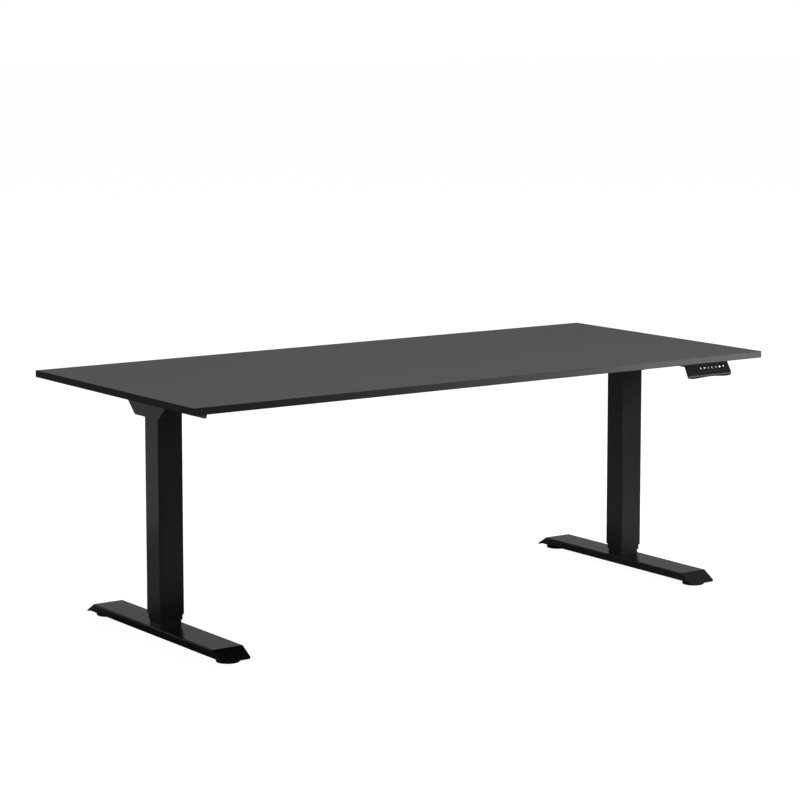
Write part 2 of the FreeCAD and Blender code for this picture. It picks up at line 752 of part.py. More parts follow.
def handsetAcross():
    """Section square to the face: full width at the front, tapering to the narrower body behind."""
    wide = handsetSideHalf + 1
    narrow = wide - (handsetDepth - handsetSkin)
    points = [(wide, 10), (wide, -handsetSkin), (narrow, -handsetDepth), (handsetRearHalf, -handsetDepth),
              (handsetRearHalf, -90)]
    points += [(-across, out) for across, out in reversed(points)]
    start = handsetFaceFoot - faceUp * 60
    return polygon([start + Vector(across, 0, 0) + faceOut * out for across, out in points])


def handsetBody(inset):
    """What the three views have in common, their outlines moved inwards by the inset."""
    views = [handsetFront(-430.0), handsetSide(-90.0), handsetAcross()]
    if inset:
        views = [view.makeOffset2D(-inset) for view in views]
    front, side, across = views
    body = front.extrude(Vector(0, 100, 0)).common(side.extrude(Vector(180, 0, 0)))
    return body.common(across.extrude(faceUp * 160))


def makeHandsetHousing():
    """Hollow housing with two ears, a window for the face and a hole for the lead."""
    housing = handsetBody(0.0).cut(handsetBody(handsetWall))
    for x, y in handsetScrews:
        outer = math.copysign(handsetEarReach, x)
        inner = math.copysign(handsetRearHalf - 1, x)
        ear = block(sorted((outer, inner)), (y - handsetEarHalf, y + handsetEarHalf),
                    (underBoard - handsetEarThickness, underBoard))
        hole = post(screwHoleRadius + screwClearance, (underBoard - 5, underBoard + 1), x, y)
        housing = housing.fuse(ear).cut(hole)
    housing = housing.cut(faceBlock((-faceHalf, faceHalf), (faceMargin, faceLength - faceMargin), (-7, 6)))
    start = Vector(0, handsetRear - 6, handsetLeadHeight)
    hole = Part.makeCylinder(handsetLeadRadius + runningGap, 12, start, Vector(0, 1, 0))
    return housing.cut(hole).removeSplitter()


def keyCentre(index):
    """Middle of a key on the face, across and up."""
    return firstKeyX + keyPitch * index - handsetX, (keyZ - handsetFaceFoot.z) / faceUp.z


def makeHandsetFace():
    """Face panel with a hole for each key and a skirt that the circuit board stands on."""
    u = (-faceHalf + faceGap, faceHalf - faceGap)
    v = (faceMargin + faceGap, faceLength - faceMargin - faceGap)
    face = roundedFaceBlock(u, v, (-faceDepth, 0), 1.0)
    face = face.cut(faceBlock((u[0] + faceRim, u[1] - faceRim), (v[0] + faceRim, v[1] - faceRim),
                              (-faceDepth - 1, -faceThickness)))
    for index in range(len(keyNames)):
        across, up = keyCentre(index)
        half = (keyWidth / 2 + keyGap, keyHeight / 2 + keyGap)
        hole = roundedFaceBlock((across - half[0], across + half[0]), (up - half[1], up + half[1]),
                                (-faceDepth, 2), keyCorner + keyGap)
        face = face.cut(hole)
    return face


def makeKey(index):
    """Key cap with a flange behind the panel that keeps it in."""
    across, up = keyCentre(index)
    half = (keyWidth / 2, keyHeight / 2)
    back = -faceThickness - keyGap
    cap = roundedFaceBlock((across - half[0], across + half[0]), (up - half[1], up + half[1]),
                           (back - keyFlange, keyProud), keyCorner)
    reach = (half[0] + keyFlangeReach, half[1] + keyFlangeReach)
    foot = faceBlock((across - reach[0], across + reach[0]), (up - reach[1], up + reach[1]),
                     (back - keyFlange, back))
    return cap.fuse(foot).removeSplitter()


def atHandset(shape):
    """Move a handset piece to its place under the front edge."""
    placed = shape.copy()
    placed.translate(Vector(handsetX, 0, 0))
    return placed


# ---- Leads and clips


def clip(x, y, height, radius, along):
    """Saddle that holds a lead against the board; along is the direction of the lead."""
    bottom = height - radius - 1.5
    reach = Vector(5, radius + 5, 0) if along == "x" else Vector(radius + 5, 5, 0)
    body = block((x - reach.x, x + reach.x), (y - reach.y, y + reach.y), (bottom, underBoard))
    direction = Vector(1, 0, 0) if along == "x" else Vector(0, 1, 0)
    start = Vector(x, y, height) - direction * 10
    return body.cut(Part.makeCylinder(radius + 0.02, 20, start, direction))


def motorLead(name, start, end):
    """Lead from a motor's gland up to the clips and down into the control box; end is the box's side."""
    towards = math.copysign(1, end - start)
    places = [(start, leadEntryHeight), (start + towards * 40, leadEntryHeight),
              (start + towards * 80, motorLeadHeight), (end - towards * 80, motorLeadHeight),
              (end - towards * 40, leadEntryHeight), (end + towards * leadInside, leadEntryHeight)]
    return lead(name, [Vector(x, wormY, z) for x, z in places], motorLeadBend, motorLeadRadius)


motorEnd = legX - gearHalf - motorLength - motorGland
leftLead = motorLead("left motor lead", -motorEnd, boxLeft)
rightLead = motorLead("right motor lead", motorEnd, boxRight)
crossX, crossY = handsetLeadCross
handsetLead = lead("handset lead", [Vector(handsetX, handsetRear - 8, handsetLeadHeight),
                                    Vector(handsetX, crossY, handsetLeadHeight),
                                    Vector(crossX, crossY, handsetLeadHeight),
                                    Vector(crossX, handsetLeadY, handsetLeadHeight),
                                    Vector(boxRight + 60, handsetLeadY, handsetLeadHeight),
                                    Vector(boxRight + 30, handsetLeadY, leadEntryHeight),
                                    Vector(boxRight - leadInside, handsetLeadY, leadEntryHeight)],
                   handsetLeadBend, handsetLeadRadius)
clips = []
for x in (-480, -300, -120, 503):
    clips.append(clip(x, wormY, motorLeadHeight, motorLeadRadius, "x"))
clips.append(clip(handsetX, crossY - 40, handsetLeadHeight, handsetLeadRadius, "y"))
clips.append(clip(crossX + 100, crossY, handsetLeadHeight, handsetLeadRadius, "x"))
clips.append(clip(crossX, crossY + 40, handsetLeadHeight, handsetLeadRadius, "y"))

# ---- Board

halfLength = boardLength / 2
halfDepth = boardDepth / 2
coreLength = halfLength - bandThickness
coreDepth = halfDepth - bandThickness
boardHeights = (underBoard, deskHeight)
board = block((-coreLength, coreLength), (-coreDepth, coreDepth), boardHeights)
screwPlaces = []
for side in (-1, 1):
    screwPlaces += [(side * legX, row, underBoard - flange) for row in boardScrewRows]
screwPlaces += [(handsetX + across, row, underBoard - flange) for across, row in handsetScrews]
for ear in (boxLeft - earReach / 2, boxRight + earReach / 2):
    screwPlaces += [(ear, row, underBoard - lidThickness) for row in (-earY, earY)]
for place in screwPlaces:
    board = board.cut(post(screwHoleRadius, (underBoard - 1, underBoard + screwBite), place[0], place[1]))
bands = []
for side in (-1, 1):
    bands.append(block((-halfLength, halfLength), sorted((side * coreDepth, side * halfDepth)), boardHeights))
    bands.append(block(sorted((side * coreLength, side * halfLength)), (-coreDepth, coreDepth), boardHeights))

# ---- Write every node

bracket = makeBracket()
gearbox = makeGearbox()
motor = makeMotor()
motorShaft = makeMotorShaft()
wormWheel = makeWormWheel()
middleGlides = lowerGlides(middleSide, middleBottom) + upperGlides(middleSide, middleTop)
sides = (("left", -1), ("right", 1))
perLeg = {"foot": foot, "inner_tube": innerTube, "middle_tube": middleTube, "spindle_nut_plate": nutPlate,
          "lower_spindle": lowerSpindle, "upper_spindle": upperSpindle, "worm_wheel": wormWheel,
          "motor_shaft": motorShaft, "outer_tube": outerTube, "gear_housing": gearbox, "motor": motor,
          "side_bracket": bracket}
for name, side in sides:
    for piece, shape in perLeg.items():
        save(name + "_" + piece, atLeg(shape, side))
    save(name + "_middle_glides", [atLeg(pad, side) for pad in middleGlides])
    for end, direction in (("front", -1), ("rear", 1)):
        save(f"levelling_foot_{end}_{name}", atLeg(makeLevellingFoot(direction * padY), side))
bothLegs = {"foot_bolts": footBolts, "inner_tube_glides": upperGlides(innerSide, innerTop),
            "nut_tubes": [nutTube], "lower_nuts": [lowerNut], "wheel_bearings": wheelBearings,
            "outer_tube_glides": lowerGlides(outerSide, outerBottom), "gear_housing_lids": [makeGearboxLid()]}
for node, shapes in bothLegs.items():
    save(node, [atLeg(shape, side) for _, side in sides for shape in shapes])
gearboxScrews = [throughScrew(x, y) for x, y in fourCorners(throughScrewX, throughScrewY)]
save("frame_screws", railScrews() + [atLeg(shape, side) for _, side in sides for shape in gearboxScrews])
save("board_screws", [woodScrew(*place) for place in screwPlaces])
save("front_rail", makeRail((-railFront, -railFront + railWidth)))
save("rear_rail", makeRail((railFront - railWidth, railFront)))
save("desktop_board", board)
save("edge_bands", bands)
save("control_box_shell", makeControlShell())
save("control_box_lid", makeControlLid())
boardLow = boxBottom + boxPostHeight
boardRange = (boardLow, boardLow + controlBoardThickness)
save("control_board", block((boxLeft + controlBoardInset, boxRight - controlBoardInset),
                            (-controlBoardHalf, controlBoardHalf), boardRange))
save("mains_inlet", makeInlet())
save("motor_leads", [leftLead, rightLead])
save("handset_lead", handsetLead)
save("lead_clips", clips)
save("handset_housing", atHandset(makeHandsetHousing()))
save("handset_face", atHandset(makeHandsetFace()))
handsetBoard = faceBlock((-faceHalf + 2, faceHalf - 2), (faceMargin + 1.8, faceLength - faceMargin - 1.8),
                         (-faceDepth - handsetBoardThickness, -faceDepth))
save("handset_board", atHandset(handsetBoard))
for index, name in enumerate(keyNames):
    save(name, atHandset(makeKey(index)))
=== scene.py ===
import bpy
import bmesh
import json
import math
from mathutils import Matrix, Vector


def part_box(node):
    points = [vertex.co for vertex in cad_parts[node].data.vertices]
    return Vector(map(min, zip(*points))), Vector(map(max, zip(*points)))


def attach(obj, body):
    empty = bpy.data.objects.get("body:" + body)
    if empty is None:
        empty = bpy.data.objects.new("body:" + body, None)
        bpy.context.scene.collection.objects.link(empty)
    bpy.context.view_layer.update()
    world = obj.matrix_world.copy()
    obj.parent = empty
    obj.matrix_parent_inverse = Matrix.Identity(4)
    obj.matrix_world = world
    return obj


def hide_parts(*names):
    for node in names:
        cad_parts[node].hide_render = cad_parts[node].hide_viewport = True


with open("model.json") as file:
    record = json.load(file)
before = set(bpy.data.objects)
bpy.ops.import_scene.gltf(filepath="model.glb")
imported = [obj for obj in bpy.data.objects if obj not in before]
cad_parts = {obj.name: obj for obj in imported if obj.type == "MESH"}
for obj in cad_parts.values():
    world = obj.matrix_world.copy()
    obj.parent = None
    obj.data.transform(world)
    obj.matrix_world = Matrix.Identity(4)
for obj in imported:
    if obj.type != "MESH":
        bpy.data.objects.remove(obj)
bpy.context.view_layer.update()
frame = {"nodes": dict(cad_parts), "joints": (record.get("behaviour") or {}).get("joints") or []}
scene = bpy.context.scene
print("desk frame loaded with", len(frame["nodes"]), "nodes")

# Camera, floor and light

camera = {"place": (-3.963, -5.593, 1.570), "turn": 35.17, "tilt": 6.779, "lens": 116.87,
          "shift": (-0.0021, -0.1), "farthest": 200.0}
studio = {"floorSide": 120.0, "floorGrey": 0.16, "floorGlow": 0.97, "exposure": 0.0,
          "roomStops": ((0.0, 0.20), (0.5, 0.25), (0.62, 0.27), (0.78, 0.13), (1.0, 0.09))}
lamps = {
    "overhead": {"place": (0.0, 0.2, 6.5), "aim": (0.0, 0.0, 0.6), "size": (3.5, 3.0), "power": 560.0,
                 "spread": 180},
    "rightFront": {"place": (0.95, -1.85, 0.95), "aim": (0.98, -0.4, 0.62), "size": (1.0, 0.6), "power": 30.0,
                   "spread": 106, "diffuseOnly": True},
    "leftRear": {"place": (-1.55, 1.2, 0.25), "aim": (-0.8, 0.0, 0.35), "size": (1.2, 0.6), "power": 0.4,
                 "spread": 150, "glossOnly": True},
}


def placeCamera():
    data = bpy.data.cameras.new("deskCamera")
    data.lens = camera["lens"]
    data.shift_x, data.shift_y = camera["shift"]
    data.clip_end = camera["farthest"]
    holder = bpy.data.objects.new("deskCamera", data)
    holder.location = camera["place"]
    holder.rotation_euler = (math.radians(90 - camera["tilt"]), 0, math.radians(-camera["turn"]))
    scene.collection.objects.link(holder)
    scene.camera = holder


def placeLamp(name, setup):
    data = bpy.data.lights.new(name, "AREA")
    data.shape = "RECTANGLE"
    data.size, data.size_y = setup["size"]
    data.energy = setup["power"]
    data.spread = math.radians(setup["spread"])
    holder = bpy.data.objects.new(name, data)
    holder.location = setup["place"]
    direction = Vector(setup["aim"]) - Vector(setup["place"])
    holder.rotation_euler = direction.to_track_quat("-Z", "Y").to_euler()
    holder.visible_camera = False
    holder.visible_diffuse = not setup.get("glossOnly")
    holder.visible_glossy = not setup.get("diffuseOnly")
    scene.collection.objects.link(holder)


placeCamera()
for lampName, lampSetup in lamps.items():
    placeLamp(lampName, lampSetup)
scene.view_settings.view_transform = "Standard"
scene.view_settings.exposure = studio["exposure"]
print("camera and", len(lamps), "lamps placed")


# Finishes, wired with Python's operators


class Wire:
    def __init__(self, tree, socket=None):
        self.tree = tree
        self.socket = socket

    def node(self, kind, settings=None, sockets=None, output=0):
        made = self.tree.nodes.new("ShaderNode" + kind)
        for name, value in (settings or {}).items():
            if name == "stops":
                fillRamp(made.color_ramp, value)
            else:
                setattr(made, name, value)
        for name, value in (sockets or {}).items():
            if isinstance(value, Wire):
                self.tree.links.new(value.socket, made.inputs[name])
            else:
                made.inputs[name].default_value = value
        return Wire(self.tree, made.outputs[output] if made.outputs else None)

    def maths(self, operation, first, second):
        return self.node("Math", {"operation": operation}, {0: first, 1: second})

    def __add__(self, other):
        return self.maths("ADD", self, other)

    def __sub__(self, other):
        return self.maths("SUBTRACT", self, other)

    def __rsub__(self, other):
        return self.maths("SUBTRACT", other, self)

    def __mul__(self, other):
        return self.maths("MULTIPLY", self, other)

    __radd__ = __add__
    __rmul__ = __mul__


def fillRamp(ramp, stops):
    for index, (place, level) in enumerate(stops):
        stop = ramp.elements[index] if index < len(ramp.elements) else ramp.elements.new(place)
        stop.position = place
        stop.color = (level, level, level, 1)


def grain(wire, scale, detail=3.0, stretch=(1, 1, 1)):  # noise on Object coordinates, 0 to 1
    place = wire.node("TexCoord", output="Object")
    place = wire.node("Mapping", {}, {"Vector": place, "Scale": stretch})
    return wire.node("TexNoise", {}, {"Vector": place, "Scale": scale, "Detail": detail})


def grey(level, warm=0.0):
    return (level * (1 + warm), level, level * (1 - warm), 1)


def blend(wire, share, first, second):
    return wire.node("Mix", {"data_type": "RGBA"}, {0: share, 6: first, 7: second}, output=2)


def bump(wire, height, depth):
    return wire.node("Bump", {}, {"Height": height, "Distance": depth, "Strength": 1.0})


def arris(wire, least=0.0):  # up to 1 on the marked faces of a piece made here, in coarse patches: eased edges, for wear, and on the handset shell the band above the lip, for a painted highlight
    edge = wire.node("Attribute", {"attribute_name": "arris"}, output="Fac")
    patches = wire.node("ValToRGB", {"stops": ((0.42, least), (0.62, 1.0))}, {"Fac": grain(wire, 60.0, 4.0)})
    return edge * patches


def newFinish(name, recipe):
    material = bpy.data.materials.new(name)
    material.use_nodes = True
    material.node_tree.nodes.clear()
    wire = Wire(material.node_tree)
    shader = wire.node("BsdfPrincipled", {}, recipe(wire))
    wire.node("OutputMaterial", {}, {"Surface": shader})
    return material


def laminate(wire):  # black melamine face with a fine pearl texture
    cloud = grain(wire, 3.0, 4.0)
    speck = grain(wire, 1400.0, 2.0)
    wear = arris(wire)
    colour = blend(wire, cloud, grey(0.020), grey(0.026))
    colour = blend(wire, 0.35 * speck + 0.5 * wear, colour, grey(0.038))
    pearl = grain(wire, 2600.0, 1.0) + 0.6 * speck
    return {"Base Color": colour, "Roughness": 0.40 + 0.08 * cloud + 0.06 * speck - 0.06 * wear,
            "Normal": bump(wire, pearl, 0.00004), "Specular IOR Level": 0.38}


def edgeBand(wire):  # the band's plastic, drawn lengthways and slightly glossier than the face
    streak = grain(wire, 900.0, 2.0, (0.02, 0.02, 1.0))
    cloud = grain(wire, 14.0, 3.0)
    wear = arris(wire, 0.8)
    colour = blend(wire, cloud, grey(0.038), grey(0.045))
    # the band's rounded outer arrises, top and bottom, are darkened almost to black nearly all along
    colour = blend(wire, 0.9 * wear, colour, grey(0.006))
    return {"Base Color": colour, "Roughness": 0.42 + 0.08 * streak + 0.05 * cloud,
            "Normal": bump(wire, streak, 0.00003), "Specular IOR Level": 0.05}


def powderCoat(wire):  # satin black powder with orange peel, thinner along the edges
    peel = grain(wire, 420.0, 2.0)
    dust = grain(wire, 2400.0, 1.0)
    cloud = grain(wire, 9.0, 4.0)
    wear = arris(wire)
    colour = blend(wire, cloud, grey(0.0045), grey(0.0065))
    colour = blend(wire, 0.25 * dust + 0.5 * wear, colour, grey(0.014))
    return {"Base Color": colour, "Roughness": 0.15 + 0.05 * cloud + 0.03 * dust - 0.03 * wear,
            "Normal": bump(wire, peel + 0.25 * dust, 0.00003), "Specular IOR Level": 0.46}


def zinc(wire):  # blackened zinc plate
    cloud = grain(wire, 160.0, 3.0)
    scratch = grain(wire, 900.0, 3.0, (1.0, 0.15, 0.15))
    colour = blend(wire, cloud, (0.115, 0.112, 0.105, 1), (0.095, 0.100, 0.110, 1))
    colour = blend(wire, 0.4 * scratch, colour, grey(0.18))
    return {"Base Color": colour, "Metallic": 1.0, "Roughness": 0.26 + 0.18 * scratch,
            "Normal": bump(wire, scratch, 0.00002)}


def turnedSteel(wire):  # spindle steel, turned, with a film of grease
    ring = grain(wire, 500.0, 2.0, (0.2, 0.2, 1.0))
    grease = grain(wire, 40.0, 4.0)
    colour = blend(wire, grease, (0.42, 0.41, 0.39, 1), (0.30, 0.29, 0.26, 1))
    return {"Base Color": colour, "Metallic": 1.0, "Roughness": 0.22 + 0.2 * grease,
            "Normal": bump(wire, ring, 0.00003)}


def nylon(wire):  # black glide nylon, slightly waxy
    cloud = grain(wire, 220.0, 3.0)
    colour = blend(wire, cloud, grey(0.010), grey(0.020))
    return {"Base Color": colour, "Roughness": 0.42 + 0.14 * cloud, "Normal": bump(wire, cloud, 0.00003)}


def nutPlastic(wire):  # cream acetal
    cloud = grain(wire, 120.0, 3.0)
    colour = blend(wire, cloud, (0.62, 0.57, 0.44, 1), (0.55, 0.49, 0.36, 1))
    return {"Base Color": colour, "Roughness": 0.34 + 0.12 * cloud, "Normal": bump(wire, cloud, 0.00003),
            "Subsurface Weight": 0.05}


def bronze(wire):
    cloud = grain(wire, 180.0, 4.0)
    colour = blend(wire, cloud, (0.56, 0.36, 0.14, 1), (0.40, 0.24, 0.10, 1))
    return {"Base Color": colour, "Metallic": 1.0, "Roughness": 0.28 + 0.2 * cloud,
            "Normal": bump(wire, cloud, 0.00003)}


def castAlloy(wire):  # black painted casting with a sandy skin
    sand = grain(wire, 700.0, 4.0)
    cloud = grain(wire, 25.0, 3.0)
    colour = blend(wire, cloud, grey(0.012), grey(0.018))
    colour = blend(wire, 0.4 * arris(wire), colour, grey(0.05))
    return {"Base Color": colour, "Roughness": 0.5 + 0.12 * sand, "Normal": bump(wire, sand, 0.00012)}


def motorCan(wire):  # black enamel on a drawn can
    draw = grain(wire, 600.0, 2.0, (0.04, 1.0, 1.0))
    cloud = grain(wire, 18.0, 3.0)
    colour = blend(wire, cloud, grey(0.008), grey(0.013))
    colour = blend(wire, 0.4 * arris(wire), colour, grey(0.06))
    return {"Base Color": colour, "Roughness": 0.24 + 0.1 * draw + 0.06 * cloud,
            "Normal": bump(wire, draw, 0.00003)}


def boxPlastic(wire):  # spark-eroded texture of a moulded box
    spark = grain(wire, 1100.0, 3.0)
    cloud = grain(wire, 12.0, 3.0)
    colour = blend(wire, cloud, grey(0.010), grey(0.014))
    colour = blend(wire, 0.3 * spark + 0.4 * arris(wire), colour, grey(0.022))
    return {"Base Color": colour, "Roughness": 0.46 + 0.12 * spark, "Normal": bump(wire, spark, 0.00008)}


def circuitBoard(wire):  # green solder mask over copper tracks
    place = wire.node("TexCoord", output="Object")
    tracks = {"Vector": place, "Scale": 45.0, "Mortar Size": 0.035, "Color1": grey(0.0), "Color2": grey(0.0),
              "Mortar": grey(1.0)}
    track = wire.node("TexBrick", {"offset": 0.37}, tracks)
    colour = blend(wire, track, (0.010, 0.060, 0.025, 1), (0.030, 0.120, 0.045, 1))
    return {"Base Color": colour, "Roughness": 0.22 + 0.1 * grain(wire, 300.0),
            "Normal": bump(wire, track, 0.00005)}


def leadJacket(wire):  # soft black PVC
    cloud = grain(wire, 90.0, 3.0)
    skin = grain(wire, 1500.0, 2.0)
    colour = blend(wire, cloud, grey(0.009), grey(0.015))
    return {"Base Color": colour, "Roughness": 0.38 + 0.12 * skin, "Normal": bump(wire, skin, 0.00003)}


def handsetShell(wire):  # moulded black plastic, satin, with a painted highlight along the band above the lip
    spark = grain(wire, 1800.0, 2.0)
    cloud = grain(wire, 40.0, 3.0)
    colour = blend(wire, cloud, grey(0.003), grey(0.0045))
    # painted highlight: the band above the lip is lightened towards grey; eased edges, more faintly marked,
    # are lightened as wear
    colour = blend(wire, 0.5 * arris(wire, 0.7), colour, grey(0.06))
    return {"Base Color": colour, "Roughness": 0.24 + 0.08 * spark + 0.04 * cloud,
            "Normal": bump(wire, spark, 0.00002), "Specular IOR Level": 0.34}


def handsetGloss(wire):  # polished black panel with a few hairline rubs
    rub = wire.node("ValToRGB", {"stops": ((0.55, 0.0), (0.75, 1.0))},
                    {"Fac": grain(wire, 300.0, 4.0, (0.1, 1.0, 1.0))})
    cloud = grain(wire, 50.0, 3.0)
    colour = blend(wire, cloud, grey(0.0025), grey(0.004))
    return {"Base Color": colour, "Roughness": 0.16 + 0.05 * cloud + 0.1 * rub, "Coat Weight": 0.1,
            "Normal": bump(wire, cloud, 0.00001), "Specular IOR Level": 0.4}


def keyCap(wire):
    skin = grain(wire, 2200.0, 2.0)
    cloud = grain(wire, 90.0, 3.0)
    colour = blend(wire, cloud, grey(0.006), grey(0.010))
    colour = blend(wire, 0.3 * arris(wire), colour, grey(0.025))
    return {"Base Color": colour, "Roughness": 0.3 + 0.1 * skin, "Normal": bump(wire, skin, 0.00002)}


def keyInkAndPaintedGlow(wire):  # white printed legend with a painted glow: a little emission brightens it, though nothing lights it
    cloud = grain(wire, 900.0, 3.0)
    colour = blend(wire, cloud, grey(0.55), grey(0.66))
    # painted glow: the emission makes the printed legend shine though it is no lamp
    return {"Base Color": colour, "Roughness": 0.4 + 0.1 * cloud, "Emission Color": colour,
            "Emission Strength": 0.15}


def padPlastic(wire):
    skin = grain(wire, 800.0, 3.0)
    cloud = grain(wire, 60.0, 3.0)
    colour = blend(wire, cloud, grey(0.007), grey(0.012))
    colour = blend(wire, 0.35 * arris(wire), colour, grey(0.03))
    return {"Base Color": colour, "Roughness": 0.36 + 0.14 * skin, "Normal": bump(wire, skin, 0.00006)}


finishes = {
    "black_laminate": newFinish("blackLaminate", laminate),
    "black_edge_band": newFinish("blackEdgeBand", edgeBand),
    "black_powder_coat": newFinish("blackPowderCoat", powderCoat),
    "zinc_plated_screws": newFinish("zincPlate", zinc),
    "spindle_steel": newFinish("spindleSteel", turnedSteel),
    "nylon_glide": newFinish("glideNylon", nylon),
    "nut_plastic": newFinish("nutAcetal", nutPlastic),
    "bronze_wheel": newFinish("wheelBronze", bronze),
    "cast_housing": newFinish("castHousing", castAlloy),
    "motor_can": newFinish("motorEnamel", motorCan),
    "box_plastic": newFinish("boxPlastic", boxPlastic),
    "circuit_board": newFinish("circuitBoard", circuitBoard),
    "lead_jacket": newFinish("leadJacket", leadJacket),
    "handset_plastic": newFinish("handsetShell", handsetShell),
    "handset_gloss": newFinish("handsetGloss", handsetGloss),
    "key_plastic": newFinish("keyCap", keyCap),
    "pad_plastic": newFinish("padPlastic", padPlastic),
}
inkAndPaintedGlow = newFinish("keyInkAndPaintedGlow", keyInkAndPaintedGlow)
for node in frame["nodes"].values():
    for slot in node.material_slots:
        slot.material = finishes[slot.material.name.split(".")[0]]
print(len(finishes), "finishes made")


def layFloor():  # pale to the eye, but dim in reflections, so that black paint stays black
    mesh = bmesh.new()
    bmesh.ops.create_grid(mesh, x_segments=1, y_segments=1, size=studio["floorSide"] / 2)
    data = bpy.data.meshes.new("floor")
    mesh.to_mesh(data)
    mesh.free()
    material = bpy.data.materials.new("paleFloor")
    material.use_nodes = True
    material.node_tree.nodes.clear()
    wire = Wire(material.node_tree)
    seen = wire.node("LightPath", output="Is Camera Ray")
    dim = wire.node("BsdfDiffuse", {}, {"Color": grey(studio["floorGrey"])})
    glow = wire.node("Emission", {}, {"Color": grey(1.0), "Strength": studio["floorGlow"]})
    pale = wire.node("AddShader", {}, {0: dim, 1: glow})
    wire.node("OutputMaterial", {}, {"Surface": wire.node("MixShader", {}, {0: seen, 1: dim, 2: pale})})
    data.materials.append(material)
    floor = bpy.data.objects.new("floor", data)
    scene.collection.objects.link(floor)


def lightRoom():  # white to the eye; what the desk reflects is dim, brightest at the horizon, dark overhead
    room = bpy.data.worlds.new("room")
    room.use_nodes = True
    room.node_tree.nodes.clear()
    wire = Wire(room.node_tree)
    seen = wire.node("LightPath", output="Is Camera Ray")
    upward = wire.node("SeparateXYZ", {}, {"Vector": wire.node("TexCoord", output="Generated")}, output="Z")
    shade = wire.node("ValToRGB", {"stops": studio["roomStops"]}, {"Fac": 0.5 * upward + 0.5})
    dim = wire.node("Background", {}, {"Color": shade})
    white = wire.node("Background", {}, {"Color": grey(1.0)})
    wire.node("OutputWorld", {}, {"Surface": wire.node("MixShader", {}, {0: seen, 1: dim, 2: white})})
    scene.world = room


layFloor()
lightRoom()
print("floor and room lit")

# Modelling helpers

past = 0.01  # a cutter reaches this far beyond what it cuts
merged = 0.000001  # vertices closer than this become one
flush = 0.00001  # vertices closer than this to a plane lie in it


def solidBoxes(node):  # the box of each separate solid in a node, in order along x, y and z
    mesh = bmesh.new()
    mesh.from_mesh(frame["nodes"][node].data)
    bmesh.ops.remove_doubles(mesh, verts=mesh.verts, dist=merged)
    mesh.verts.ensure_lookup_table()
    seen = [False] * len(mesh.verts)
    boxes = []
    for first in mesh.verts:
        if seen[first.index]:
            continue
        island, waiting = [], [first]
        seen[first.index] = True
        while waiting:
            vert = waiting.pop()
            island.append(vert.co.copy())
            for edge in vert.link_edges:
                other = edge.other_vert(vert)
                if not seen[other.index]:
                    seen[other.index] = True
                    waiting.append(other)
        boxes.append([Vector([pick(co[axis] for co in island) for axis in range(3)]) for pick in (min, max)])
    mesh.free()
    return sorted(boxes, key=lambda corners: tuple(round(value, 5) for value in corners[0]))


def newMesh():
    mesh = bmesh.new()
    mesh.faces.layers.float.new("arris")
    return mesh


def addBlock(mesh, low, high):
    low, high = Vector(low), Vector(high)
    place = Matrix.Translation((low + high) / 2) @ Matrix.Diagonal((*(high - low), 1))
    return bmesh.ops.create_cube(mesh, size=1, matrix=place)["verts"]


def addRod(mesh, radius, depth, steps, place):
    return bmesh.ops.create_cone(mesh, cap_ends=True, segments=steps, radius1=radius, radius2=radius,
                                 depth=depth, matrix=place)["verts"]


def edgesOf(verts):
    kept = set(verts)
    return [edge for vert in verts for edge in vert.link_edges
            if edge.verts[0] == vert and edge.verts[1] in kept]


def along(edges, axis):  # the edges that run along one axis
    return [edge for edge in edges if abs((edge.verts[1].co - edge.verts[0].co).normalized()[axis]) > 0.99]


def roundEdges(mesh, edges, radius, steps):
    made = bmesh.ops.bevel(mesh, geom=edges, offset=radius, offset_type="OFFSET", segments=steps, profile=0.5,
                           affect="EDGES", clamp_overlap=True, material=-1)
    arrisLayer = mesh.faces.layers.float["arris"]
    for face in made["faces"]:
        face[arrisLayer] = 1.0


def turn(mesh, profile, centre, steps):  # spins a profile of (radius, height) about an upright axis
    centre, axis = Vector(centre), Vector((0, 0, 1))
    across = axis.orthogonal().normalized()
    points = [mesh.verts.new(centre + across * radius + axis * height) for radius, height in profile]
    lines = [mesh.edges.new(pair) for pair in zip(points, points[1:])]
    bmesh.ops.spin(mesh, geom=points + lines, cent=centre, axis=axis, angle=2 * math.pi, steps=steps,
                   use_merge=True)


def addOutline(mesh, outline, depth):  # a flat outline of 3-D points, extruded by a vector
    face = mesh.faces.new([mesh.verts.new(point) for point in outline])
    made = bmesh.ops.extrude_face_region(mesh, geom=[face])["geom"]
    moved = [part for part in made if isinstance(part, bmesh.types.BMVert)]
    bmesh.ops.translate(mesh, verts=moved, vec=depth)


def mend(mesh):
    bmesh.ops.remove_doubles(mesh, verts=mesh.verts, dist=merged)
    bmesh.ops.recalc_face_normals(mesh, faces=mesh.faces)


def looseObject(mesh, name):
    data = bpy.data.meshes.new(name)
    mesh.to_mesh(data)
    mesh.free()
    made = bpy.data.objects.new(name, data)
    scene.collection.objects.link(made)
    return made


def carve(mesh, tool, operation="DIFFERENCE"):  # a new mesh from two, which are both used up
    mend(mesh)
    mend(tool)
    body, cutter = looseObject(mesh, "carved"), looseObject(tool, "cutter")
    change = body.modifiers.new("carve", "BOOLEAN")
    change.operation = operation
    change.solver = "EXACT"
    change.object = cutter
    seen = body.evaluated_get(bpy.context.evaluated_depsgraph_get())
    result = bmesh.new()
    result.from_mesh(seen.to_mesh())
    seen.to_mesh_clear()
    for done in (body, cutter):
        data = done.data
        bpy.data.objects.remove(done)
        bpy.data.meshes.remove(data)
    if not result.faces.layers.float.get("arris"):
        result.faces.layers.float.new("arris")
    return result


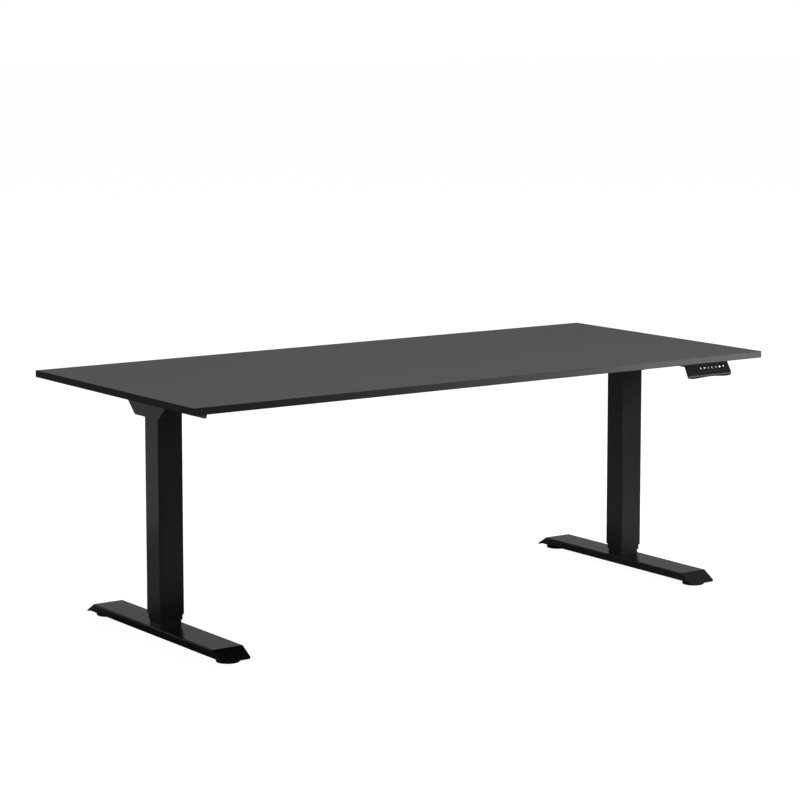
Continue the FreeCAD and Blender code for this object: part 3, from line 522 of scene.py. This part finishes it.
def finishPiece(mesh, name, body, slot, replaced=(), extra=(), sharpAbove=35):
    mend(mesh)
    piece = looseObject(mesh, name)
    piece.data.shade_smooth()
    piece.data.set_sharp_from_angle(angle=math.radians(sharpAbove))
    for material in (finishes[slot], *extra):
        piece.data.materials.append(material)
    evened = piece.modifiers.new("evened", "WEIGHTED_NORMAL")
    evened.keep_sharp = True
    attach(piece, body)
    if replaced:
        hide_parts(*replaced)


# Board and its edge bands

board = {"panelArris": 0.00015, "bandArris": 0.0006, "bandArrisSteps": 3}


def makeBoard():
    mesh = newMesh()
    verts = addBlock(mesh, *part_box("desktop_board"))
    roundEdges(mesh, edgesOf(verts), board["panelArris"], 1)
    finishPiece(mesh, "desktop_panel", "top", "black_laminate", ["desktop_board"])


def makeBands():
    low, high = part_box("edge_bands")
    inLow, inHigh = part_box("desktop_board")
    strips = {
        "front": ((low.x, low.y, low.z), (high.x, inLow.y, high.z)),
        "rear": ((low.x, inHigh.y, low.z), (high.x, high.y, high.z)),
        "left": ((low.x, inLow.y, low.z), (inLow.x, inHigh.y, high.z)),
        "right": ((inHigh.x, inLow.y, low.z), (high.x, inHigh.y, high.z)),
    }
    outers = {"front": (1, low.y), "rear": (1, high.y), "left": (0, low.x), "right": (0, high.x)}
    for side, corners in strips.items():
        mesh = newMesh()
        edges = edgesOf(addBlock(mesh, *corners))
        axis, outer = outers[side]
        edges = [edge for edge in along(edges, 1 - axis) if abs(edge.verts[0].co[axis] - outer) < flush]
        roundEdges(mesh, edges, board["bandArris"], board["bandArrisSteps"])
        replaced = ["edge_bands"] if side == "front" else []
        finishPiece(mesh, "edge_band_" + side, "top", "black_edge_band", replaced)


makeBoard()
makeBands()
print("board and bands made")

# Column tubes, rolled square with rounded corners, drilled for the glides' pegs

column = {"corner": 0.004, "cornerSteps": 8, "wall": 0.0015, "pegRadius": 0.00255, "pegSpread": 0.017,
          "pegRise": 0.016, "pegSteps": 24, "pegDepth": 0.006}


def makeTube(node, body, openEnd, drilled):  # the open end is 1 for the top, -1 for the bottom, 0 for both
    low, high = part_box(node)
    mesh = newMesh()
    edges = along(edgesOf(addBlock(mesh, low, high)), 2)
    roundEdges(mesh, edges, column["corner"], column["cornerSteps"])
    mesh.normal_update()
    ends = [face for face in mesh.faces if abs(face.normal.z) > 0.99 and face.normal.z * openEnd >= 0]
    bmesh.ops.delete(mesh, geom=ends, context="FACES")
    mend(mesh)
    bmesh.ops.solidify(mesh, geom=mesh.faces[:], thickness=column["wall"])
    if drilled:
        drills = newMesh()
        centre = (low + high) / 2
        reach = (high.x - low.x) / 2
        for axis in (Vector((1, 0, 0)), Vector((0, 1, 0))):
            for across in (-column["pegSpread"], column["pegSpread"]):
                sideways = Vector((-axis.y, axis.x, 0)) * across
                for face in (-1, 1):
                    middle = centre + sideways + axis * face * reach
                    middle.z = low.z + column["pegRise"]
                    turned = axis.to_track_quat("Z", "Y").to_matrix().to_4x4()
                    addRod(drills, column["pegRadius"], column["pegDepth"], column["pegSteps"],
                           Matrix.Translation(middle) @ turned)
        mesh = carve(mesh, drills)
    finishPiece(mesh, node + "_wall", body, "black_powder_coat", [node])


for side in ("left", "right"):
    makeTube(side + "_outer_tube", "top", -1, True)
    makeTube(side + "_middle_tube", side + "_middle_stage", 0, True)
    makeTube(side + "_inner_tube", "base", 1, False)
print("columns made")

# Levelling feet: a ribbed pad with a hexagonal collar under a threaded stud

pad = {"steps": 64, "rim": 0.006, "rimRound": 0.0015, "rimSteps": 4, "slope": 0.006, "hub": 0.010,
       "hubFoot": 0.0105, "hubTop": 0.0095, "hubEase": 0.001, "ribs": 24, "ribWidth": 0.0016,
       "ribFrom": 0.0055, "ribTo": 0.0022, "ribSunk": 0.001, "ribProud": 0.0004}
stud = {"radius": 0.004, "steps": 24, "plain": 0.0006, "threadPitch": 0.00125, "threadDepth": 0.0006,
        "hexFlats": 0.013, "hexHeight": 0.005, "hexSunk": 0.0005, "hexEase": 0.0004, "lap": 0.001}


def makePad(node, centre, radius):
    rim, edge, hub = pad["rim"], pad["rimRound"], pad["hub"]
    quarter = [math.pi / 2 * (1 - step / pad["rimSteps"]) for step in range(pad["rimSteps"] + 1)]
    corner = [(radius - edge + edge * math.sin(a), rim - edge + edge * math.cos(a)) for a in quarter]
    profile = [(0, 0), (radius - edge, 0), (radius, edge), *corner, (radius - pad["slope"], rim),
               (pad["hubFoot"], hub - pad["hubEase"]), (pad["hubTop"], hub), (0, hub)]
    mesh = newMesh()
    turn(mesh, profile, centre, pad["steps"])
    for rib in range(pad["ribs"]):
        turned = Matrix.Translation(centre) @ Matrix.Rotation(2 * math.pi * rib / pad["ribs"], 4, "Z")
        verts = addBlock(mesh, (radius - pad["ribFrom"], -pad["ribWidth"] / 2, rim - pad["ribSunk"]),
                         (radius - pad["ribTo"], pad["ribWidth"] / 2, rim + pad["ribProud"]))
        bmesh.ops.transform(mesh, matrix=turned, verts=verts)
    finishPiece(mesh, node + "_pad", node, "pad_plastic", [node])


def makeStud(node, centre, top):
    mesh = newMesh()
    collar = Matrix.Translation(centre + Vector((0, 0, pad["hub"] + stud["hexHeight"] / 2 - stud["hexSunk"])))
    verts = addRod(mesh, stud["hexFlats"] / math.sqrt(3), stud["hexHeight"], 6, collar)
    roundEdges(mesh, edgesOf(verts), stud["hexEase"], 2)
    start = pad["hub"] + stud["hexHeight"] - stud["lap"]
    crest, root, pitch = stud["radius"], stud["radius"] - stud["threadDepth"], stud["threadPitch"]
    profile = [(0, start), (root, start)]
    for step in range(int((top - start - stud["plain"]) / pitch)):
        profile.append((crest, start + (step + 0.5) * pitch))
        profile.append((root, start + (step + 1) * pitch))
    profile += [(root, top), (0, top)]
    turn(mesh, profile, centre, stud["steps"])
    finishPiece(mesh, node + "_stud", node, "zinc_plated_screws")


for node in ("levelling_foot_front_left", "levelling_foot_front_right",
             "levelling_foot_rear_left", "levelling_foot_rear_right"):
    footLow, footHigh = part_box(node)
    footCentre = Vector(((footLow.x + footHigh.x) / 2, (footLow.y + footHigh.y) / 2, footLow.z))
    makePad(node, footCentre, (footHigh.x - footLow.x) / 2)
    makeStud(node, footCentre, footHigh.z - footLow.z)
print("levelling feet made")

# Handset: what lies on its face is drawn flat, x across, y up the face, z out of it, then tilted into place

handset = {"arcSteps": 8, "topHalf": 0.0735, "sideHalf": 0.077, "sideRise": 0.0145, "corner": 0.011,
           "cornerRise": 0.0005, "cornerTurn": (-8, -84), "archHalf": 0.066, "archRise": 0.003,
           "headDrop": 0.0038, "depth": 0.0115, "skin": 0.003, "rearHalf": 0.062, "rearDrop": 0.0085,
           "lipRadius": 0.0042, "lipDrop": 0.0058, "lipTurn": (150, 262), "underFrom": 0.012,
           "underDrop": 0.002, "backDrop": 0.005, "sideMargin": 0.001, "taperHalf": 0.08,
           "taperDepth": 0.09, "ease": 0.0007, "easeAbove": 32, "panelGap": 0.00015, "panelCorner": 0.001,
           "footGap": 0.0002, "highlightBelow": 0.0005, "highlightSlope": (0.40, 0.438), "edgeMark": 0.3}
keyJoint = next(joint for joint in frame["joints"] if joint["name"] == "key_up_press")
faceOut = -Vector(keyJoint["axis"]).normalized()
faceUp = faceOut.cross(Vector((1, 0, 0)))
panelLow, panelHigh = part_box("handset_face")
panelVerts = [vert.co for vert in frame["nodes"]["handset_face"].data.vertices]
facePlane = max(co.dot(faceOut) for co in panelVerts)
facePoint = Vector(((panelLow.x + panelHigh.x) / 2, panelLow.y, (panelLow.z + panelHigh.z) / 2))
facePoint += faceOut * (facePlane - facePoint.dot(faceOut))
onFace = Matrix.Translation(facePoint) @ Matrix((Vector((1, 0, 0)), faceUp, faceOut)).transposed().to_4x4()


def flatBox(node, above=-1.0):  # a node's box in the face's own directions, from its vertices above a height
    flat = [onFace.inverted() @ vert.co for vert in frame["nodes"][node].data.vertices]
    flat = [co for co in flat if co.z > above]
    return [Vector([pick(co[axis] for co in flat) for axis in range(3)]) for pick in (min, max)]


def arc(centre, start, end, steps):  # points of a round arc in a plane, angles in degrees
    angles = [math.radians(start + (end - start) * step / steps) for step in range(steps + 1)]
    x, y, radius = centre
    return [(x + radius * math.cos(a), y + radius * math.sin(a)) for a in angles]


def handsetOutline(bottom, top):  # front view: leaning sides, round lower corners, an arched underside
    steps, corner, bend = handset["arcSteps"], handset["corner"], handset["archHalf"]
    right = [(handset["topHalf"], top), (handset["sideHalf"], bottom + handset["sideRise"])]
    middle = (handset["sideHalf"] - corner, bottom + corner + handset["cornerRise"])
    right += arc((*middle, corner), *handset["cornerTurn"], steps)
    for step in range(1, steps + 1):
        rise = handset["archRise"] * math.sin(math.pi / 2 * step / steps) ** 2
        right.append((bend * (1 - step / steps), bottom + rise))
    left = [(-x, z) for x, z in reversed(right[:-1])]
    return [(facePoint.x + x, z) for x, z in right + left]


def handsetSide(low, high):  # side view as (y, z): tilted face, round lip, hollow underside, flat top
    foot = panelLow.z - handset["footGap"]
    faceFoot = facePoint + faceUp * ((foot - facePoint.z) / faceUp.z)
    faceHead = facePoint + faceUp * ((high.z - handset["headDrop"] - facePoint.z) / faceUp.z)
    lip = arc((low.y + handset["lipRadius"], foot - handset["lipDrop"], handset["lipRadius"]),
              *handset["lipTurn"], handset["arcSteps"])
    backFoot = faceFoot - faceOut * handset["depth"]
    rearBottom = high.z - handset["rearDrop"]
    corner = backFoot + faceUp * ((rearBottom - backFoot.z) / faceUp.z)
    return [(high.y, high.z), (faceHead.y, high.z), (faceHead.y, faceHead.z), (faceFoot.y, faceFoot.z), *lip,
            (low.y + handset["underFrom"], low.z - handset["underDrop"]),
            (backFoot.y, backFoot.z - handset["backDrop"]), (backFoot.y, backFoot.z),
            (corner.y, corner.z), (high.y, rearBottom)]


def handsetAcross():  # seen along the face as (x, depth): full width in front, narrower behind
    wide = handset["sideHalf"] + handset["sideMargin"]
    narrow = wide - (handset["depth"] - handset["skin"])
    half = [(wide, past), (wide, -handset["skin"]), (narrow, -handset["depth"]),
            (handset["rearHalf"], -handset["depth"]), (handset["rearHalf"], -handset["taperDepth"])]
    return half + [(-x, z) for x, z in reversed(half)]


def makeHandsetShell():
    low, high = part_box("handset_housing")
    mesh, side, across, room = newMesh(), newMesh(), newMesh(), newMesh()
    outline = handsetOutline(low.z, high.z)
    addOutline(mesh, [(x, low.y - past, z) for x, z in outline], (0, high.y - low.y + past, 0))
    addOutline(side, [(low.x - past, y, z) for y, z in handsetSide(low, high)],
               (high.x - low.x + 2 * past, 0, 0))
    mesh = carve(mesh, side, "INTERSECT")
    addOutline(across, [(x, -handset["taperHalf"], z) for x, z in handsetAcross()],
               (0, 2 * handset["taperHalf"], 0))
    bmesh.ops.transform(across, matrix=onFace, verts=across.verts)
    mesh = carve(mesh, across, "INTERSECT")
    fold = math.radians(handset["easeAbove"])
    sharp = [edge for edge in mesh.edges if edge.is_manifold and edge.calc_face_angle() > fold]
    roundEdges(mesh, sharp, handset["ease"], 3)
    foot, head = flatBox("handset_face")
    gap = handset["panelGap"]
    verts = addBlock(room, (foot.x - gap, foot.y - gap, foot.z), (head.x + gap, head.y + gap, past))
    roundEdges(room, along(edgesOf(verts), 2), handset["panelCorner"], 4)
    bmesh.ops.transform(room, matrix=onFace, verts=room.verts)
    mesh = carve(mesh, room)
    paintLipHighlight(mesh)
    finishPiece(mesh, "handset_shell", "top", "handset_plastic", ["handset_housing"], sharpAbove=40)


def paintLipHighlight(mesh):  # painted highlight: the band between the panel and the lip, which leans back less than the panel, is marked in full so that the shell's colour is lightened there
    mesh.normal_update()
    least, most = handset["highlightSlope"]
    arrisLayer = mesh.faces.layers.float["arris"]
    for face in mesh.faces:
        below = face.calc_center_median().z < facePoint.z - handset["highlightBelow"]
        onHighlight = below and least < face.normal.z < most and face.normal.y < -0.5
        # painted highlight on the band; other marked faces, the eased edges, keep a share of their mark, for
        # edge wear
        face[arrisLayer] = 1.0 if onHighlight else face[arrisLayer] * handset["edgeMark"]


ears = {"thick": 0.0025, "half": 0.010, "lap": 0.002, "corner": 0.003, "cornerSteps": 5}


def makeHandsetEars():  # the housing's flat lugs, one at each of its screws
    low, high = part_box("handset_housing")
    mesh = newMesh()
    screws = [corners for corners in solidBoxes("board_screws")
              if low.x < corners[0].x and corners[1].x < high.x and corners[0].y < high.y]
    for first, last in screws:
        middle = (first + last) / 2
        outer = low.x if middle.x < facePoint.x else high.x
        inner = facePoint.x + math.copysign(handset["rearHalf"] - ears["lap"], outer - facePoint.x)
        verts = addBlock(mesh, (min(outer, inner), middle.y - ears["half"], high.z - ears["thick"]),
                         (max(outer, inner), middle.y + ears["half"], high.z))
        roundEdges(mesh, along(edgesOf(verts), 2), ears["corner"], ears["cornerSteps"])
    finishPiece(mesh, "handset_ears", "top", "handset_plastic")


keyLegends = {"key_up": "up", "key_down": "down", "key_one": "1", "key_two": "2", "key_three": "3",
              "key_memory": "dot", "key_alarm": "clock"}
key = {"capFrom": -0.001, "corner": 0.0017, "gap": 0.0003, "ease": 0.0003, "flange": 0.001}
panel = {"corner": 0.001, "cornerSteps": 4, "ease": 0.0002}
display = {"from": -0.0630, "to": -0.0350, "half": 0.0062, "sunk": 0.0004, "corner": 0.0015, "cornerSteps": 5,
           "gap": 0.0001, "glassBack": 0.0009, "glassFront": 0.0002}


def makePanel():
    low, high = flatBox("handset_face")
    high.z = 0.0
    mesh = newMesh()
    verts = addBlock(mesh, low, high)
    roundEdges(mesh, along(edgesOf(verts), 2), panel["corner"], panel["cornerSteps"])
    rim = [edge for edge in mesh.edges if all(abs(vert.co.z) < flush for vert in edge.verts)]
    roundEdges(mesh, rim, panel["ease"], 2)
    holes = newMesh()
    for node in keyLegends:
        first, last = flatBox(node, above=key["capFrom"])
        verts = addBlock(holes, (first.x - key["gap"], first.y - key["gap"], -past),
                         (last.x + key["gap"], last.y + key["gap"], past))
        roundEdges(holes, along(edgesOf(verts), 2), key["corner"], 5)
    middle = (low.y + high.y) / 2
    verts = addBlock(holes, (display["from"], middle - display["half"], -display["sunk"]),
                     (display["to"], middle + display["half"], past))
    roundEdges(holes, along(edgesOf(verts), 2), display["corner"], display["cornerSteps"])
    mesh = carve(mesh, holes)
    bmesh.ops.transform(mesh, matrix=onFace, verts=mesh.verts)
    finishPiece(mesh, "handset_panel", "top", "handset_gloss", ["handset_face"])
    makeDisplay(middle)


def makeDisplay(middle):  # a dark glass, unlit, just below the panel's surface
    gap = display["gap"]
    half = display["half"] - gap
    mesh = newMesh()
    verts = addBlock(mesh, (display["from"] + gap, middle - half, -display["glassBack"]),
                     (display["to"] - gap, middle + half, display["glassFront"] - display["sunk"]))
    roundEdges(mesh, along(edgesOf(verts), 2), display["corner"] - gap, display["cornerSteps"])
    bmesh.ops.transform(mesh, matrix=onFace, verts=mesh.verts)
    finishPiece(mesh, "handset_display", "top", "handset_gloss")


legend = {"proud": 0.00006, "steps": 32, "arrowOut": 0.0021, "arrowIn": 0.0001, "arrowRise": 0.0016,
          "arrowStroke": 0.0008, "dot": 0.0021, "dialOuter": 0.0019, "dialInner": 0.0014, "longHand": 0.0011,
          "shortHand": 0.0008, "handStroke": 0.0004, "bellFrom": (0.0012, 0.0021), "bellTo": (0.0020, 0.0014),
          "bellStroke": 0.0005, "figure": 0.0054}


def addBar(mesh, start, end, width, low, high):  # a straight stroke of a legend
    start, end = Vector((*start, 0)), Vector((*end, 0))
    length = (end - start).length
    verts = addBlock(mesh, (0, -width / 2, low), (length, width / 2, high))
    turned = (end - start).to_track_quat("X", "Z").to_matrix().to_4x4()
    bmesh.ops.transform(mesh, matrix=Matrix.Translation(start) @ turned, verts=verts)


def addLegend(mesh, kind, centre, surface):
    low, high = surface - legend["proud"], surface + legend["proud"]
    x, y = centre
    if kind in ("up", "down"):
        rise = legend["arrowRise"] if kind == "up" else -legend["arrowRise"]
        for side in (-1, 1):
            addBar(mesh, (x + side * legend["arrowOut"], y - rise), (x - side * legend["arrowIn"], y + rise),
                   legend["arrowStroke"], low, high)
    elif kind == "dot":
        addRod(mesh, legend["dot"], high - low, legend["steps"], Matrix.Translation((x, y, surface)))
    elif kind == "clock":
        outer, inner = legend["dialOuter"], legend["dialInner"]
        ring = [(outer, low), (outer, high), (inner, high), (inner, low), (outer, low)]
        turn(mesh, ring, (x, y, 0), legend["steps"])
        addBar(mesh, (x, y), (x, y + legend["longHand"]), legend["handStroke"], low, high)
        addBar(mesh, (x, y), (x + legend["shortHand"], y), legend["handStroke"], low, high)
        (fromX, fromY), (toX, toY) = legend["bellFrom"], legend["bellTo"]
        for side in (-1, 1):
            addBar(mesh, (x + side * fromX, y + fromY), (x + side * toX, y + toY), legend["bellStroke"],
                   low, high)
    else:
        addFigure(mesh, kind, centre, low, high)


def addFigure(mesh, figure, centre, low, high):
    curve = bpy.data.curves.new("figure", "FONT")
    curve.body = figure
    curve.size = legend["figure"]
    curve.align_x = "CENTER"
    curve.align_y = "CENTER"
    curve.extrude = (high - low) / 2
    holder = bpy.data.objects.new("figure", curve)
    data = bpy.data.meshes.new_from_object(holder)
    data.transform(Matrix.Translation((*centre, (low + high) / 2)))
    mesh.from_mesh(data)
    bpy.data.objects.remove(holder)
    bpy.data.curves.remove(curve)
    bpy.data.meshes.remove(data)


def makeKey(node, kind):
    low, high = flatBox(node, above=key["capFrom"])
    flangeLow, flangeHigh = flatBox(node)
    mesh = newMesh()
    verts = addBlock(mesh, (low.x, low.y, flangeLow.z), high)
    roundEdges(mesh, along(edgesOf(verts), 2), key["corner"] - key["gap"], 6)
    rim = [edge for edge in mesh.edges if all(abs(vert.co.z - high.z) < flush for vert in edge.verts)]
    roundEdges(mesh, rim, key["ease"], 3)
    addBlock(mesh, flangeLow, (flangeHigh.x, flangeHigh.y, flangeLow.z + key["flange"]))
    capFaces = set(mesh.faces)
    addLegend(mesh, kind, (low + high).xy / 2, high.z)
    for face in mesh.faces:
        if face not in capFaces:
            face.material_index = 1
    bmesh.ops.transform(mesh, matrix=onFace, verts=mesh.verts)
    finishPiece(mesh, node + "_cap", node, "key_plastic", [node], [inkAndPaintedGlow])


makeHandsetShell()
makeHandsetEars()
makePanel()
for keyNode, keyKind in keyLegends.items():
    makeKey(keyNode, keyKind)
print("handset made with", len(keyLegends), "keys")
